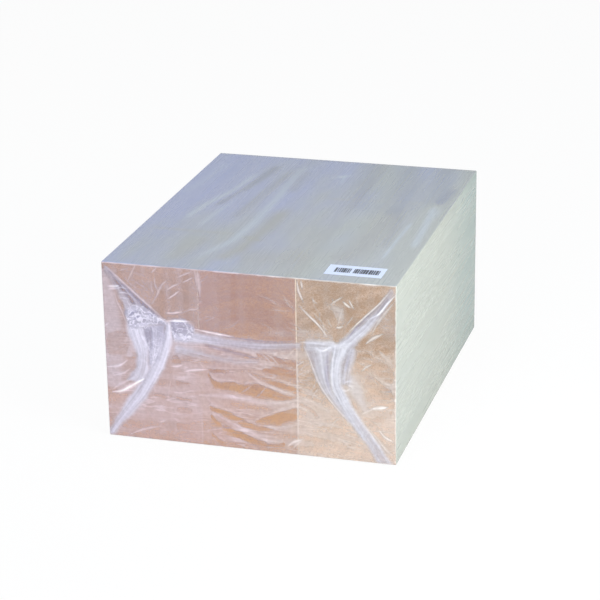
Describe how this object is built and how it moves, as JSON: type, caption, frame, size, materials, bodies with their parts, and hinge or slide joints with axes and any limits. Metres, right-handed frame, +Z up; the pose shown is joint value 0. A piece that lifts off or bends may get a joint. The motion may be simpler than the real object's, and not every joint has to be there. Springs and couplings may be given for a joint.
{
  "type": "balsa block",
  "caption": "Rectangular balsa block of boards side by side, wrapped in clear shrink film gathered over both ends, with a small paper label; stock for carving and model making.",
  "frame": {"origin": "middle of the underside, on the surface that the block lies on", "axes": "+X across the boards to the right, +Y along the grain from the front end to the back end, +Z up"},
  "size_m": [0.2402, 0.3096, 0.1503],
  "materials": {
    "balsa_tan": "sawn, bare",
    "balsa_cream": "sawn, bare",
    "clear_film": "clear, glossy",
    "label_paper": "matt white, printed bars"
  },
  "bodies": {
    "root": {"left_board": "balsa_tan", "middle_board": "balsa_tan", "right_board": "balsa_cream", "shrink_film": "clear_film", "label": "label_paper"}
  },
  "joints": []
}
